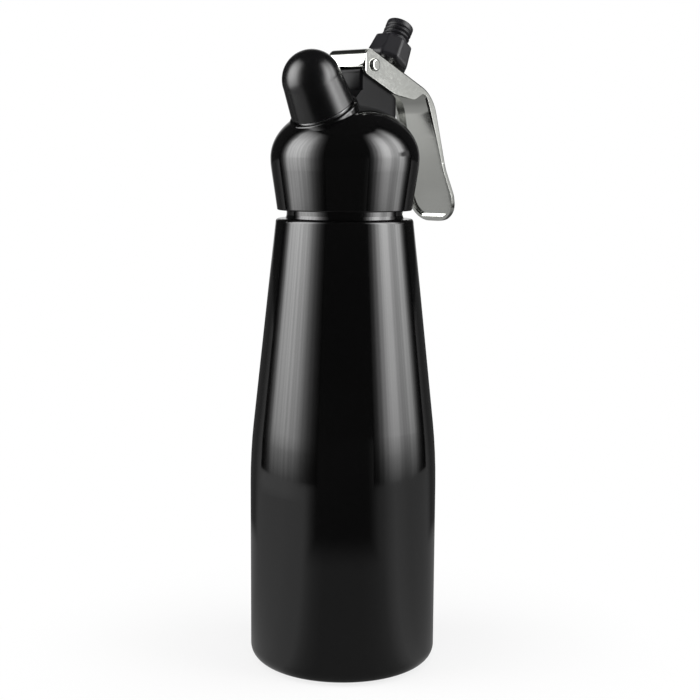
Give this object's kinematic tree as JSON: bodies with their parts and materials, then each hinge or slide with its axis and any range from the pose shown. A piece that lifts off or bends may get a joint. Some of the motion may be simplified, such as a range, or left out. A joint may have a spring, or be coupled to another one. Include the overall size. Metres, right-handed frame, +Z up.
{
  "type": "whipped cream dispenser",
  "caption": "Bottle-shaped whipped cream dispenser with a screw-on domed head, capped gas charger inlet, squeeze lever and a threaded nozzle adapter.",
  "frame": {"origin": "centre of the flat base, on the surface it stands on", "axes": "+Z up along the bottle, +X toward the lever handle, Y across the lever"},
  "size_m": [0.1057, 0.08, 0.2765],
  "materials": {
    "lacquer_body": "gloss black lacquer over aluminium",
    "lacquer_head": "gloss black lacquer over aluminium",
    "silicone": "matt food-grade silicone",
    "tower_plastic": "semi-matt black",
    "stainless": "turned",
    "collar_plastic": "matt",
    "inlet_metal": "satin",
    "brass": "turned",
    "cap_plastic": "semi-gloss black",
    "lever_steel": "polished",
    "adapter_plastic": "matt dark grey"
  },
  "bodies": {
    "bottle": {"bottle": "lacquer_body"},
    "head": {"head_shell": "lacquer_head", "head_gasket": "silicone", "valve_tower": "tower_plastic", "tower_screws": "stainless", "valve_bush": "stainless", "stem_ring": "silicone", "return_spring": "stainless", "charger_inlet": "inlet_metal", "inlet_nut": "inlet_metal", "piercing_pin": "brass", "inlet_seal": "silicone", "inlet_check_valve": "silicone", "lever_pin": "lever_steel", "pin_rivet": "lever_steel", "hinge_washers": "collar_plastic"},
    "cap": {"protective_cap": "cap_plastic"},
    "lever": {"lever": "lever_steel"},
    "piston": {"valve_piston": "stainless", "piston_gasket": "silicone", "spring_collar": "collar_plastic"},
    "nozzle": {"nozzle_adapter": "adapter_plastic", "adapter_washer": "silicone"}
  },
  "joints": [
    {"name": "head_lift", "type": "slide", "parent": "bottle", "child": "head", "axis": [0, 0, 1], "range_m": [0, 0.04]},
    {"name": "cap_off", "type": "slide", "parent": "head", "child": "cap", "axis": [-0.5, 0, 0.866], "range_m": [0, 0.03]},
    {"name": "lever_squeeze", "type": "hinge", "parent": "head", "child": "lever", "pos_m": [0.0069, 0, 0.2549], "axis": [0, 1, 0], "range_deg": [0, 8], "stiffness_Nm_per_rad": 2, "springref_deg": -5.73},
    {"name": "piston_press", "type": "slide", "parent": "head", "child": "piston", "axis": [-0.5299, 0, -0.848], "range_m": [0, 0.0018], "deforming": ["return_spring"]},
    {"name": "adapter_off", "type": "slide", "parent": "piston", "child": "nozzle", "axis": [0.5299, 0, 0.848], "range_m": [0, 0.02]}
  ],
  "couplings": [
    {"joint": "piston_press", "follows": "lever_squeeze", "m_per_rad": 0.0125}
  ]
}
